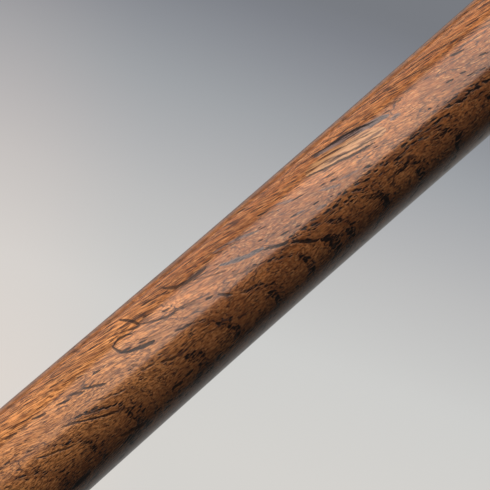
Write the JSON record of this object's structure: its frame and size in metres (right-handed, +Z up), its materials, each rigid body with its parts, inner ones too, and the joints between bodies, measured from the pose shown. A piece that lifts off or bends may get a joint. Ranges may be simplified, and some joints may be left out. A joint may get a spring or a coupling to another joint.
{
  "type": "dip pen holder",
  "caption": "Turned wooden dip pen holder with a pinned brass ferrule and a sprung steel insert that grips a pointed nib.",
  "frame": {"origin": "middle of the pen's box in X and Y, on the surface that it lies on", "axes": "+X along the pen towards its tail, so the nib points to -X; +Z up, on the side of the insert where the nib sits; +Y across"},
  "size_m": [0.1908, 0.0108, 0.0108],
  "materials": {
    "oiled_hardwood": "oiled and polished, open pored",
    "brass": "turned and lightly worn",
    "sleeve_steel": "plated tube",
    "spring_steel": "tempered sheet",
    "nib_steel": "ground and polished sheet"
  },
  "bodies": {
    "holder": {"shaft": "oiled_hardwood", "ferrule": "brass", "ferrule_pin": "brass", "insert_sleeve": "sleeve_steel", "insert_cup": "spring_steel"},
    "nib": {"nib": "nib_steel"},
    "leaf_top": {"leaf_top": "spring_steel"},
    "leaf_left": {"leaf_left": "spring_steel"},
    "leaf_bottom": {"leaf_bottom": "spring_steel"},
    "leaf_right": {"leaf_right": "spring_steel"}
  },
  "joints": [
    {"name": "nib_slide", "type": "slide", "parent": "holder", "child": "nib", "axis": [-1, 0, 0], "range_m": [0, 0.014]},
    {"name": "leaf_top_flex", "type": "hinge", "parent": "holder", "child": "leaf_top", "pos_m": [-0.06171, 0, 0.00804], "axis": [0, -1, 0], "range_deg": [0, 3], "stiffness_Nm_per_rad": 0.2},
    {"name": "leaf_left_flex", "type": "hinge", "parent": "holder", "child": "leaf_left", "pos_m": [-0.06171, -0.00264, 0.0054], "axis": [0, 0, -1], "range_deg": [0, 3], "stiffness_Nm_per_rad": 0.2},
    {"name": "leaf_bottom_flex", "type": "hinge", "parent": "holder", "child": "leaf_bottom", "pos_m": [-0.06171, 0, 0.00276], "axis": [0, 1, 0], "range_deg": [0, 3], "stiffness_Nm_per_rad": 0.2},
    {"name": "leaf_right_flex", "type": "hinge", "parent": "holder", "child": "leaf_right", "pos_m": [-0.06171, 0.00264, 0.0054], "axis": [0, 0, 1], "range_deg": [0, 3], "stiffness_Nm_per_rad": 0.2}
  ]
}
